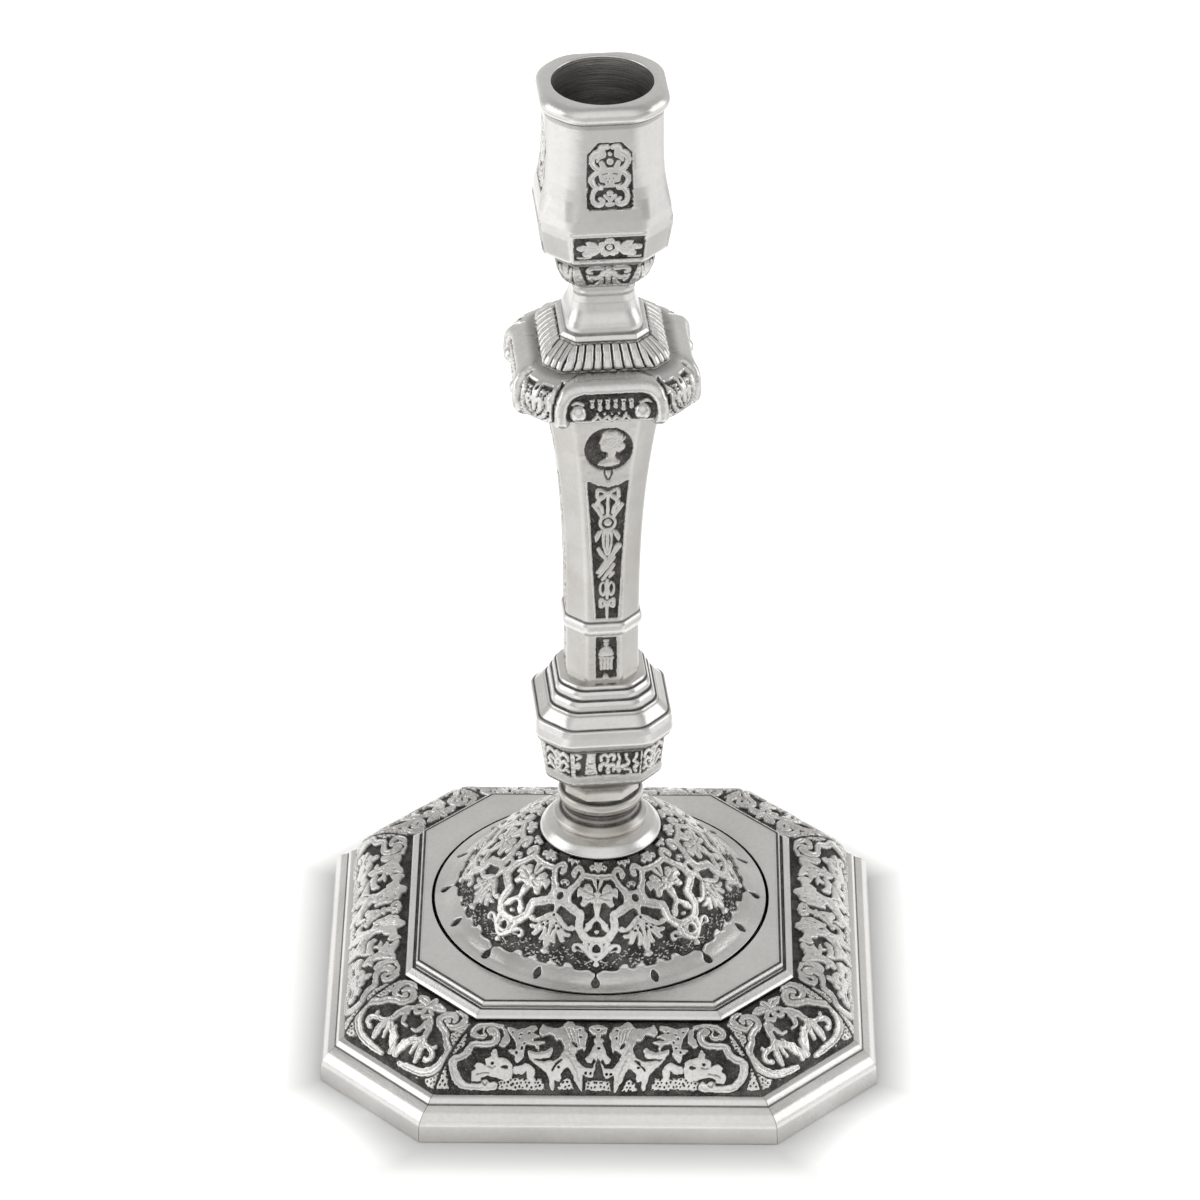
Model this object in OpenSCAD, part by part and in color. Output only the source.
// Octagonal cast candlestick: a hollow stepped base, a turned and faceted stem, and a bored candle socket.
// Millimetres, +Z up, origin on the axis at the level of the surface that it stands on, front face towards -Y.

/* [Base] */
// Width of the base across its front and back faces
base_w = 130; // [126:0.5:134]
// Half length of a main side over half the width, which sets how much the corners are cut
base_ratio = 0.637; // [0.6:0.001:0.66]
// Height of the plain border strips
skirt_h = 10; // [9.5:0.1:10.5]
// Height of the chased band above the border
frieze_h = 10.8; // [10:0.1:11.5]
// Half width of the raised centre
plateau_w = 45.3; // [44.5:0.1:46]
// Half length of the raised centre's main sides over its half width
plateau_ratio = 0.626; // [0.6:0.001:0.65]
// Height of the stepped frame round the raised centre
frame_h = 3.3; // [3:0.1:3.6]
// Outward bow of the chased band
frieze_bow = 2.7; // [2:0.1:3.2]
// Wall of the hollow base
wall = 2.4; // [2:0.1:2.8]

/* [Dome] */
// Radius of the round flange that drops into the raised centre
dome_r = 39.5; // [39:0.1:39.8]
// Radius at which the dome starts to rise from its flange
dome_foot_r = 33.5; // [32.5:0.1:34.5]
// Radius of the flat seat on top of the dome
seat_r = 14.6; // [14.3:0.1:15]
// Height of that seat above the surface that the base stands on
seat_z = 44.2; // [43.8:0.1:44.8]

/* [Stem] */
// Turn of the screwed-up stem against the base, degrees
stem_turn = 6; // [0:0.5:8]
// Height of the turned foot of the stem
foot_h = 3.4; // [3:0.1:3.8]
// Height of the turned rings
rings_h = 9.5; // [9:0.1:10]
// Height of the spool under the knop
spool_h = 6.9; // [6.5:0.1:7.5]
// Height of the chased knop
knop_h = 11; // [10:0.1:12]
// Height of the knop's stepped cap
cap_h = 15.3; // [15:0.1:15.8]
// Height of the small pedestal
die_h = 12.6; // [12:0.1:13.5]
// Height of the bead between pedestal and shaft
astragal_h = 4.1; // [3.8:0.1:4.5]
// Height of the tapering shaft
shaft_h = 57.5; // [55:0.5:60]
// Half width of the shaft's foot
shaft_foot_w = 8.5; // [8.3:0.1:8.8]
// Half width of the shaft's head
shaft_head_w = 13.1; // [12.8:0.1:13.3]
// Height of the shoulder block
shoulder_h = 12.4; // [12:0.1:13]
// Half width of the shoulder block
shoulder_w = 20.4; // [20:0.1:21]
// Radius of the pearls set in the shoulder
pearl_r = 1.9; // [1.6:0.1:2.1]
// Height of the fluted cap on the shoulder
gadroon_h = 6.3; // [6:0.1:6.6]

/* [Socket] */
// Height of the neck
neck_h = 11.1; // [10.5:0.1:12]
// Height of the cup under the socket
cup_h = 8.5; // [8:0.1:9]
// Height of the socket's framed base
socket_base_h = 10.2; // [10:0.1:10.8]
// Height of the socket's body
socket_h = 25.2; // [24:0.1:27]
// Height of the rim moulding
rim_h = 4.4; // [4:0.1:5]
// Diameter of the candle bore
bore_d = 22.6; // [21:0.1:23]
// Depth of the candle bore
bore_depth = 32; // [30:0.5:33]

/* [Tie rod] */
// Diameter of the rod that holds the stem together
rod_d = 5; // [4:0.1:5.2]
// Clearance round the rod
rod_gap = 0.3; // [0.2:0.05:0.4]
// Thickness of the washer
washer_h = 1.5; // [1:0.1:2]
// Height of the nut
nut_h = 4; // [3.5:0.1:4.5]
// Width of the nut across its flats
nut_w = 9; // [8.5:0.1:9.5]

/* [Ornament] */
// Depth of the sunk panels
panel_depth = 0.5; // [0.3:0.05:0.7]

/* [Hidden] */
$fn = 96;

far = 200;      // longer than any width of the part
eps = 0.01;     // overshoot of a cut past the face that it opens
polished = [0.86, 0.86, 0.85];
matted = [0.62, 0.61, 0.6];
tinted = [0.72, 0.68, 0.66];

// Heights of the joints, from the base up
frieze_z = skirt_h;
plateau_z = frieze_z + frieze_h;
field_z = plateau_z + frame_h;
foot_z = seat_z;
rings_z = foot_z + foot_h;
spool_z = rings_z + rings_h;
knop_z = spool_z + spool_h;
cap_z = knop_z + knop_h;
die_z = cap_z + cap_h;
astragal_z = die_z + die_h;
shaft_z = astragal_z + astragal_h;
shoulder_z = shaft_z + shaft_h;
gadroon_z = shoulder_z + shoulder_h;
neck_z = gadroon_z + gadroon_h;
cup_z = neck_z + neck_h;
socket_base_z = cup_z + cup_h;
socket_z = socket_base_z + socket_base_h;
rim_z = socket_z + socket_h;
top_z = rim_z + rim_h;

// Outlines. An octagonal piece has levels of [height above its foot, half width, corner ratio].
skirt_w = base_w / 2;
skirt_section = [
    [skirt_w - 2.6, 0], [skirt_w - 0.1, 0], [skirt_w, 0.5], [skirt_w - 0.6, 7], [skirt_w - 1.1, 7.6],
    [skirt_w - 3.6, 8.1], [skirt_w - 3.7, 8.6], [skirt_w - 4.1, 9.4], [skirt_w - 5, skirt_h],
    [skirt_w - 7.4, skirt_h], [skirt_w - 3, 5.6]
];
bow_steps = 8;
frieze_foot_w = skirt_w - 5.1;
frieze_levels = [for (i = [0:bow_steps])
    let (t = i / bow_steps, run = frieze_foot_w - plateau_w,
        bow = 4 * frieze_bow * t * (1 - t) / norm([run, frieze_h]))
    [frieze_h * t + bow * run, frieze_foot_w - run * t + bow * frieze_h,
     base_ratio + (plateau_ratio - base_ratio) * t]];
frame_levels = [
    [0, plateau_w, plateau_ratio], [0.5, plateau_w - 0.1, plateau_ratio], [1.5, plateau_w - 1.8, plateau_ratio],
    [1.8, plateau_w - 2.3, plateau_ratio], [2.6, plateau_w - 2.6, plateau_ratio],
    [frame_h, plateau_w - 3.1, plateau_ratio]
];
field_w = plateau_w - 3.7;
foot_outline = [[0, 14.1], [0.7, 14.2], [1.6, 13.7], [2.6, 12.3], [3.1, 10.9], [foot_h, 10.5]];
rings_outline = [
    [0, 10.3], [0.6, 11], [1.5, 11], [2.4, 9.9], [2.8, 9.4], [4.2, 9], [5.6, 9.2], [6, 9.8], [7.2, 10.1],
    [8.4, 9.8], [9, 9], [rings_h, 8.7]
];
spool_levels = [
    [0, 8.6, 0.45], [2.4, 8.4, 0.48], [4.2, 9, 0.5], [5.6, 10.3, 0.54], [spool_h, 12.4, 0.58]
];
knop_levels = [
    [0, 12.5, 0.6], [0.6, 13.3, 0.6], [1.7, 13.7, 0.6], [2.8, 13.5, 0.6], [knop_h, 14.3, 0.6]
];
cap_levels = [
    [0, 14.3, 0.6], [0.7, 14.6, 0.6], [1.6, 16.1, 0.61], [6.2, 15.5, 0.575], [6.5, 14.9, 0.575],
    [7.4, 14.2, 0.59], [8.6, 12.9, 0.61], [9.5, 12, 0.61], [11.1, 11.8, 0.6], [12, 11, 0.585],
    [13.4, 10.8, 0.58], [14.2, 10.1, 0.57], [14.9, 9.9, 0.55], [cap_h, 8.6, 0.48]
];
die_levels = [[0, 8.45, 0.47], [die_h, 8.4, 0.47]];
astragal_levels = [
    [0, 8.4, 0.47], [0.4, 8.9, 0.47], [1.6, 9.2, 0.47], [2.9, 9, 0.47], [3.6, 8.5, 0.47],
    [astragal_h, 8.45, 0.47]
];
shaft_steps = 12;
shaft_levels = [for (i = [0:shaft_steps])
    let (t = i / shaft_steps)
    [shaft_h * t, shaft_foot_w + (shaft_head_w - shaft_foot_w) * pow(t, 2.3), 0.48 + 0.12 * t]];
shoulder_levels = [
    [0, 13.3, 0.6], [1.6, 18.4, 0.66], [2.7, shoulder_w - 0.2, 0.68], [5, shoulder_w, 0.68],
    [9.6, shoulder_w - 0.5, 0.68], [11, shoulder_w - 1.4, 0.68], [11.8, 17, 0.7], [shoulder_h, 14.4, 0.74]
];
gadroon_levels = [
    [0, 14.3, 0.74], [1.2, 14.2, 0.74], [3, 12.7, 0.72], [4.4, 11.2, 0.7], [4.8, 10.1, 0.68],
    [5.5, 10, 0.68], [5.9, 9.6, 0.7], [gadroon_h, 9.4, 0.72]
];
neck_levels = [
    [0, 8.7, 0.73], [1.2, 8.7, 0.73], [2.6, 8.3, 0.72], [4.6, 7.5, 0.7], [7, 7, 0.7], [9, 6.9, 0.7],
    [9.6, 7.1, 0.72], [10.6, 7.1, 0.73], [neck_h, 6.8, 0.74]
];
cup_levels = [
    [0, 6.8, 0.74], [1.4, 8.6, 0.72], [3.4, 10, 0.7], [5.8, 10.9, 0.68], [8, 11.2, 0.66], [cup_h, 11.6, 0.64]
];
socket_base_levels = [
    [0, 11.6, 0.64], [1.2, 13.3, 0.6], [1.9, 13.8, 0.578], [7.6, 14.7, 0.578], [10, 15, 0.578],
    [socket_base_h, 15, 0.578]
];
socket_levels = [
    [0, 15, 0.578], [1.3, 14.8, 0.575], [3.2, 14.1, 0.565], [5.2, 13.6, 0.555], [7.4, 13.35, 0.55],
    [15, 13.25, 0.54], [socket_h, 13.2, 0.54]
];
rim_levels = [
    [0, 13.3, 0.56], [0.5, 13.8, 0.56], [1.6, 14.15, 0.565], [3.2, 14.15, 0.565], [4.1, 13.9, 0.565],
    [rim_h, 13.6, 0.565]
];

// Dome: a round arc from its foot to its seat, with the same arc sunk by the wall inside
dome_rise = 2.4;
arc_r = 44.6;
arc_steps = 10;
dome_foot_z = field_z + dome_rise;
flange_h = 1.6;
function arc_centre(a, b, r) = let (half = (b - a) / 2, d = norm(half), k = sqrt(r * r - d * d) / d)
    a + half + [half[1], -half[0]] * k;
dome_centre = arc_centre([seat_r, seat_z], [dome_foot_r, dome_foot_z], arc_r);
function direction(p) = atan2(p[1] - dome_centre[1], p[0] - dome_centre[0]);
function dome_arc(from, to, sink) = [for (i = [0:arc_steps])
    let (a = from + (to - from) * i / arc_steps) dome_centre + (arc_r - sink) * [cos(a), sin(a)]];
foot_angle = direction([dome_foot_r, dome_foot_z]);
seat_angle = direction([seat_r, seat_z]);
dome_underside_z = seat_z - wall - 0.6;
inner_top_angle = asin((dome_underside_z - dome_centre[1]) / (arc_r - wall));

// Nut, washer and rod under the dome
washer_z = dome_underside_z - washer_h;
nut_z = washer_z - nut_h;
rod_tail = 1.5;
rod_grip = 5;
rod_z = nut_z - rod_tail;
rod_top_z = socket_base_z + rod_grip;
rod_hole_d = rod_d + 2 * rod_gap;

// Width of an octagon over its corner faces, from its main half width and its corner ratio
function corner_w(w, ratio) = w * (1 + ratio) / sqrt(2);

// Two opposite faces of an octagonal solid, drawn as one outline and run through
module face_pair(levels, turn, corner) {
    right = [for (l = levels) [corner ? corner_w(l[1], l[2]) : l[1], l[0]]];
    left = [for (i = [len(right) - 1:-1:0]) [-right[i][0], right[i][1]]];
    rotate([90, 0, turn]) linear_extrude(far, center = true) polygon(concat(right, left));
}

// Octagonal solid through the given levels
module octagonal(levels) {
    intersection() {
        face_pair(levels, 0, false);
        face_pair(levels, 90, false);
        face_pair(levels, 45, true);
        face_pair(levels, -45, true);
    }
}

// Turned solid through levels of [height, radius]
module turned(outline) {
    rotate_extrude() polygon(concat([[0, outline[0][0]]], [for (p = outline) [p[1], p[0]]],
        [[0, outline[len(outline) - 1][0]]]));
}

function sunk(levels, depth) = [for (l = levels) [l[0], l[1] - depth, l[2]]];

// The skin of a panel cut: its children, run in from the main faces, down to the panel's depth
module panel_cut(levels, turns) {
    difference() {
        for (a = turns) rotate([90, 0, a]) linear_extrude(far) children();
        octagonal(sunk(levels, panel_depth));
    }
}

module on_stem(z) {
    rotate([0, 0, stem_turn]) translate([0, 0, z]) children();
}

module rod_hole(h) {
    translate([0, 0, -eps]) cylinder(h = h + 2 * eps, d = rod_hole_d);
}

// An octagonal stem piece with sunk panels, drilled for the rod
module stem_piece(z, h, levels, colour) {
    on_stem(z) color(colour) difference() {
        octagonal(levels);
        rod_hole(h);
        children();
    }
}

main_turns = [0, 90, 180, 270];
corner_turns = [45, 135, 225, 315];

// Sector of the plan between two corners of the base
module main_sector() {
    linear_extrude(far, center = true) polygon([[0, 0], [-far * base_ratio, -far], [far * base_ratio, -far]]);
}

module corner_sector() {
    linear_extrude(far, center = true) polygon([[0, 0], [far * base_ratio, -far], [far, -far * base_ratio]]);
}

// Straight length of the border moulding, widened by stretch
module skirt_length(stretch) {
    rotate([90, 0, -90]) linear_extrude(far, center = true)
        polygon([for (p = skirt_section) [p[0] * stretch, p[1]]]);
}

module skirt_side(turn) {
    color(polished) rotate([0, 0, turn]) intersection() {
        skirt_length(1);
        main_sector();
    }
}

module skirt_corner(turn) {
    color(polished) rotate([0, 0, turn]) intersection() {
        rotate([0, 0, 45]) skirt_length(corner_w(1, base_ratio));
        corner_sector();
    }
}

module frieze() {
    inner = [for (l = frieze_levels) [l[0] - wall * 0.8, l[1] - wall * 0.8, l[2]]];
    throat = plateau_w - wall;
    color(matted) translate([0, 0, frieze_z]) difference() {
        octagonal(frieze_levels);
        octagonal(inner);
        octagonal([[-1, throat, plateau_ratio], [frieze_h + 1, throat, plateau_ratio]]);
    }
}

module plateau_frame() {
    color(polished) translate([0, 0, plateau_z]) difference() {
        octagonal(frame_levels);
        octagonal([[-1, field_w, plateau_ratio], [frame_h + 1, field_w, plateau_ratio]]);
    }
}

module plateau_field() {
    ledge_r = dome_r - 2.5;
    flange_gap = 0.25;
    color(polished) translate([0, 0, plateau_z]) difference() {
        octagonal([[0, field_w, plateau_ratio], [frame_h, field_w, plateau_ratio]]);
        translate([0, 0, -1]) cylinder(h = frame_h + 2, r = ledge_r);
        translate([0, 0, frame_h - flange_h]) cylinder(h = frame_h, r = dome_r + flange_gap);
    }
}

module dome() {
    flange_z = field_z - flange_h;
    inner_foot_r = dome_foot_r - wall * 1.3;
    outer = concat([[dome_r, flange_z], [dome_r, field_z]], dome_arc(foot_angle, seat_angle, 0));
    inner = concat([[0, seat_z], [0, dome_underside_z]], dome_arc(inner_top_angle, foot_angle, wall),
        [[inner_foot_r, flange_z]]);
    color(matted) difference() {
        rotate_extrude() polygon(concat(outer, inner));
        translate([0, 0, dome_underside_z]) rod_hole(seat_z - dome_underside_z);
    }
}

module collar_foot() {
    on_stem(foot_z) color(polished) difference() {
        turned(foot_outline);
        rod_hole(foot_h);
    }
}

module collar_rings() {
    on_stem(rings_z) color(tinted) difference() {
        turned(rings_outline);
        rod_hole(rings_h);
    }
}

module stem_spool() {
    stem_piece(spool_z, spool_h, spool_levels, tinted);
}

module knop() {
    band_foot = 3.4;
    band_h = 6.8;
    main_w = 14.6;
    corner_panel_w = 6.8;
    corner_out = 15.6;  // from the axis to the floor of a corner panel
    stem_piece(knop_z, knop_h, knop_levels, matted) {
        panel_cut(knop_levels, main_turns) translate([-main_w / 2, band_foot]) square([main_w, band_h]);
        for (a = corner_turns) rotate([90, 0, a])
            translate([-corner_panel_w / 2, band_foot, corner_out]) cube([corner_panel_w, band_h, far]);
    }
}

module knop_cap() {
    stem_piece(cap_z, cap_h, cap_levels, polished);
}

module pedestal() {
    panel_w = 4.8;
    panel_z = 1.6;
    panel_h = 9.4;
    stem_piece(die_z, die_h, die_levels, polished)
        panel_cut(die_levels, main_turns) translate([-panel_w / 2, panel_z]) square([panel_w, panel_h]);
}

module astragal() {
    stem_piece(astragal_z, astragal_h, astragal_levels, polished);
}

module shaft() {
    panel_foot_w = 2.5;
    panel_head_w = 4.6;
    panel_z = 1;
    panel_h = 38;
    oval_z = 47.5;
    oval_w = 5.5;
    oval_h = 5.6;
    stem_piece(shaft_z, shaft_h, shaft_levels, polished) {
        panel_cut(shaft_levels, main_turns)
            polygon([[-panel_foot_w, panel_z], [panel_foot_w, panel_z],
                [panel_head_w, panel_h], [-panel_head_w, panel_h]]);
        panel_cut(shaft_levels, main_turns) translate([0, oval_z]) scale([oval_w, oval_h]) circle(r = 1);
    }
}

// Places of the pearls: two at the foot of each main face's frame
module at_pearls() {
    pearl_x = 7.2;
    pearl_z = 5.2;
    pearl_sink = 0.2;  // centre of a pearl behind the face
    for (a = main_turns, side = [-1, 1]) rotate([0, 0, a])
        translate([side * pearl_x, pearl_sink - shoulder_w, pearl_z]) children();
}

module shoulder() {
    recess_w = 21;
    recess_z = 3.6;
    recess_h = 5.6;
    stem_piece(shoulder_z, shoulder_h, shoulder_levels, matted) {
        panel_cut(shoulder_levels, main_turns) translate([-recess_w / 2, recess_z]) square([recess_w, recess_h]);
        at_pearls() sphere(r = pearl_r);
    }
}

module shoulder_pearls() {
    on_stem(shoulder_z) color(polished) at_pearls() sphere(r = pearl_r);
}

module gadroon_cap() {
    flute_r = 0.45;
    flute_l = 5.6;
    flutes = 9;
    pitch = 2.05;
    tilt = 50;
    out = 14.9;
    rise = 0.5;
    stem_piece(gadroon_z, gadroon_h, gadroon_levels, polished)
        for (a = main_turns, i = [0:flutes]) rotate([0, 0, a])
            translate([(i - flutes / 2) * pitch, -out, rise]) rotate([-tilt, 0, 0])
                cylinder(h = flute_l, r = flute_r);
}

module neck() {
    stem_piece(neck_z, neck_h, neck_levels, polished);
}

module socket_cup() {
    foot_w = 4.6;
    head_w = 6.6;
    panel_z = 1;
    panel_top = 7.4;
    stem_piece(cup_z, cup_h, cup_levels, matted)
        panel_cut(cup_levels, main_turns)
            polygon([[-foot_w, panel_z], [foot_w, panel_z], [head_w, panel_top], [-head_w, panel_top]]);
}

module candle_bore() {
    translate([0, 0, top_z - bore_depth]) cylinder(h = bore_depth + 1, d = bore_d);
}

module socket_base() {
    panel_w = 15.2;
    panel_z = 2.4;
    panel_h = 5.6;
    difference() {
        on_stem(socket_base_z) color(polished) difference() {
            octagonal(socket_base_levels);
            translate([0, 0, -eps]) cylinder(h = rod_grip + eps, d = rod_d);
            panel_cut(socket_base_levels, main_turns)
                translate([-panel_w / 2, panel_z]) square([panel_w, panel_h]);
        }
        candle_bore();
    }
}

module socket_body() {
    panel_w = 10;
    panel_z = 5;
    panel_top = 18.6;
    clip = 2;
    difference() {
        on_stem(socket_z) color(polished) difference() {
            octagonal(socket_levels);
            panel_cut(socket_levels, main_turns) polygon([
                [-panel_w / 2, panel_z], [panel_w / 2, panel_z], [panel_w / 2, panel_top - clip],
                [panel_w / 2 - clip, panel_top], [clip - panel_w / 2, panel_top], [-panel_w / 2, panel_top - clip]
            ]);
        }
        candle_bore();
    }
}

module socket_rim() {
    difference() {
        on_stem(rim_z) color(polished) octagonal(rim_levels);
        candle_bore();
    }
}

module tie_rod() {
    color(matted) translate([0, 0, rod_z]) cylinder(h = rod_top_z - rod_z, d = rod_d);
}

module tie_washer() {
    washer_r = 8;
    color(matted) translate([0, 0, washer_z]) difference() {
        cylinder(h = washer_h, r = washer_r);
        rod_hole(washer_h);
    }
}

module tie_nut() {
    color(matted) translate([0, 0, nut_z]) difference() {
        cylinder(h = nut_h, d = nut_w / cos(30), $fn = 6);
        translate([0, 0, -eps]) cylinder(h = nut_h + 2 * eps, d = rod_d);
    }
}

skirt_side(0);  // skirt_front
skirt_corner(0);  // skirt_front_right
skirt_side(90);  // skirt_right
skirt_corner(90);  // skirt_back_right
skirt_side(180);  // skirt_back
skirt_corner(180);  // skirt_back_left
skirt_side(270);  // skirt_left
skirt_corner(270);  // skirt_front_left
frieze();
plateau_frame();
plateau_field();
dome();
collar_foot();
collar_rings();
stem_spool();
knop();
knop_cap();
pedestal();
astragal();
shaft();
shoulder();
shoulder_pearls();
gadroon_cap();
neck();
socket_cup();
socket_base();
socket_body();
socket_rim();
tie_rod();
tie_washer();
tie_nut();
